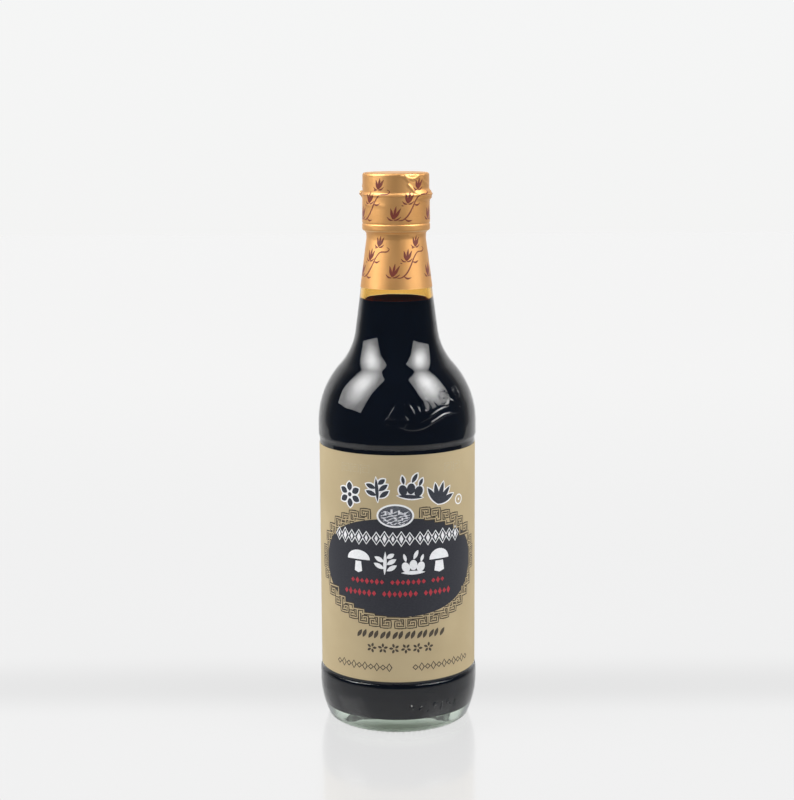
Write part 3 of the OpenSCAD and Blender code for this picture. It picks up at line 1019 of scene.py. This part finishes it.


# Studio: a flat white table with a white backdrop behind the bottle, a dark room in
# front of it, and two large soft boxes, one on each side.
table_front, table_back, table_side = -0.50, 3.0, 0.55
bpy.ops.object.select_all(action="DESELECT")
bpy.ops.mesh.primitive_grid_add(x_subdivisions=20, y_subdivisions=16, size=1)
table = bpy.context.object
table.name = "table_top"
table.scale = (2 * table_side, table_back - table_front, 1)
table.location = (0, (table_back + table_front) / 2, 0)
bpy.ops.object.transform_apply()
for vertex in table.data.vertices:
    if vertex.co.y < 0:
        vertex.co.x *= math.sqrt(1 - (vertex.co.y / table_front) ** 2)
    else:
        vertex.co.x *= 1 + max(0, vertex.co.y - 0.2)
table_white = bpy.data.materials.new("table_white")
table_white.use_nodes = True
tree = table_white.node_tree
tree.nodes.clear()
place = Wire(tree.nodes.new("ShaderNodeTexCoord").outputs["Object"])
# Painted shadow: a darker band in the table's glow, from just in front of the bottle to just behind it
painted_shadow_band = place.part("Y").over(-0.01, 0.03) * place.part("Y").over(0.085, 0.035)
glow = tree.nodes.new("ShaderNodeEmission")
near_and_far = place.part("Y").over(0.1, 1.1).mix((0.79, 0.79, 0.79), (0.865, 0.865, 0.86))
tree.links.new(painted_shadow_band.mix(near_and_far, (0.70, 0.70, 0.70)).socket, glow.inputs["Color"])
chalk = tree.nodes.new("ShaderNodeBsdfDiffuse")
chalk.inputs["Color"].default_value = (0.04, 0.04, 0.04, 1)
sheen = tree.nodes.new("ShaderNodeBsdfGlossy")
sheen.inputs["Color"].default_value = (1, 1, 1, 1)
sheen.inputs["Roughness"].default_value = 0.14
both, mixed = tree.nodes.new("ShaderNodeAddShader"), tree.nodes.new("ShaderNodeMixShader")
grazing = tree.nodes.new("ShaderNodeFresnel")
grazing.inputs["IOR"].default_value = 1.45
tree.links.new(glow.outputs[0], both.inputs[0])
tree.links.new(chalk.outputs[0], both.inputs[1])
tree.links.new(grazing.outputs[0], mixed.inputs["Fac"])
tree.links.new(both.outputs[0], mixed.inputs[1])
tree.links.new(sheen.outputs[0], mixed.inputs[2])
tree.links.new(mixed.outputs[0], tree.nodes.new("ShaderNodeOutputMaterial").inputs["Surface"])
table.data.materials.append(table_white)

world = bpy.data.worlds.new("studio")
bpy.context.scene.world = world
world.use_nodes = True
tree = world.node_tree
tree.nodes.clear()
toward = Wire(tree.nodes.new("ShaderNodeTexCoord").outputs["Generated"])
behind = toward.part("Y")
lit = behind.node(
    "ValToRGB",
    {
        "stops": [
            (0.0, (0.085, 0.11, 0.16)), (0.38, (0.11, 0.125, 0.15)), (0.56, (0.28, 0.28, 0.29)),
            (0.68, (0.72, 0.72, 0.72)), (0.80, (0.93, 0.93, 0.93)),
        ]
    },
    {"Fac": behind},
)
height = toward.part("Z")
seen = height.over(-0.15, 0.12).mix((0.90, 0.90, 0.895), (0.915, 0.92, 0.918))
straight = Wire(tree.nodes.new("ShaderNodeLightPath").outputs["Is Camera Ray"])
sky = tree.nodes.new("ShaderNodeBackground")
tree.links.new(straight.mix(lit, seen).socket, sky.inputs["Color"])
tree.links.new(sky.outputs[0], tree.nodes.new("ShaderNodeOutputWorld").inputs["Surface"])

mid_shoulder = Vector((0, -0.03, 0.155))
hot_spot, rim_glow = 13.0, 3.6


def soft_box(name, corner, across, up, width, tall, power):
    """A soft box from its lower corner, with the directions of its lower and its side edge; it is
    brightest about its middle."""
    bpy.ops.object.select_all(action="DESELECT")
    bpy.ops.mesh.primitive_plane_add(size=1)
    box = bpy.context.object
    box.name = name
    across, up = Vector(across).normalized(), Vector(up).normalized()
    for vertex in box.data.vertices:
        s, t = vertex.co.x + 0.5, vertex.co.y + 0.5
        vertex.co = Vector(corner) + across * width * s + up * tall * t
    glow = bpy.data.materials.new(name)
    glow.use_nodes = True
    tree = glow.node_tree
    tree.nodes.clear()
    flat = Wire(tree.nodes.new("ShaderNodeTexCoord").outputs["UV"])
    off_x, off_y = (flat.part("X") - 0.5) * 2.0, (flat.part("Y") - 0.48) * 2.0
    off = (off_x * off_x + off_y * off_y).math("SQRT")
    strength = (off.over(1.05, 0.0) * hot_spot + rim_glow) * power
    lamp = tree.nodes.new("ShaderNodeEmission")
    tree.links.new(strength.socket, lamp.inputs["Strength"])
    lamp.inputs["Color"].default_value = (1, 1, 1, 1)
    tree.links.new(lamp.outputs[0], tree.nodes.new("ShaderNodeOutputMaterial").inputs["Surface"])
    box.data.materials.append(glow)
    box.visible_camera = False
    return box


left_corner = mid_shoulder + Vector((-0.953, 0.220, 0.208))
soft_box("soft_box_left", left_corner, (0.174, -0.985, 0), (0.438, -0.033, 0.899), 0.765, 1.05, 1.0)
right_corner = mid_shoulder + Vector((0.953, 0.083, 0.292))
soft_box("soft_box_right", right_corner, (-0.326, -0.945, 0), (-0.355, 0.048, 0.933), 0.778, 0.98, 1.1)

bpy.ops.object.camera_add(location=(0, -0.7645, 0.2745))
camera = bpy.context.object
pitch, roll = math.radians(90 - 9.64), math.radians(-0.30)
camera.rotation_mode = "QUATERNION"
camera.rotation_quaternion = Quaternion((1, 0, 0), pitch) @ Quaternion((0, 0, 1), roll)
camera.data.sensor_width, camera.data.lens = 36, 78.12
camera.data.clip_start = 0.01
bpy.context.scene.camera = camera

scene = bpy.context.scene
scene.view_settings.view_transform = "Standard"
scene.cycles.use_denoising = True
scene.cycles.max_bounces = 16
scene.cycles.transmission_bounces = 16
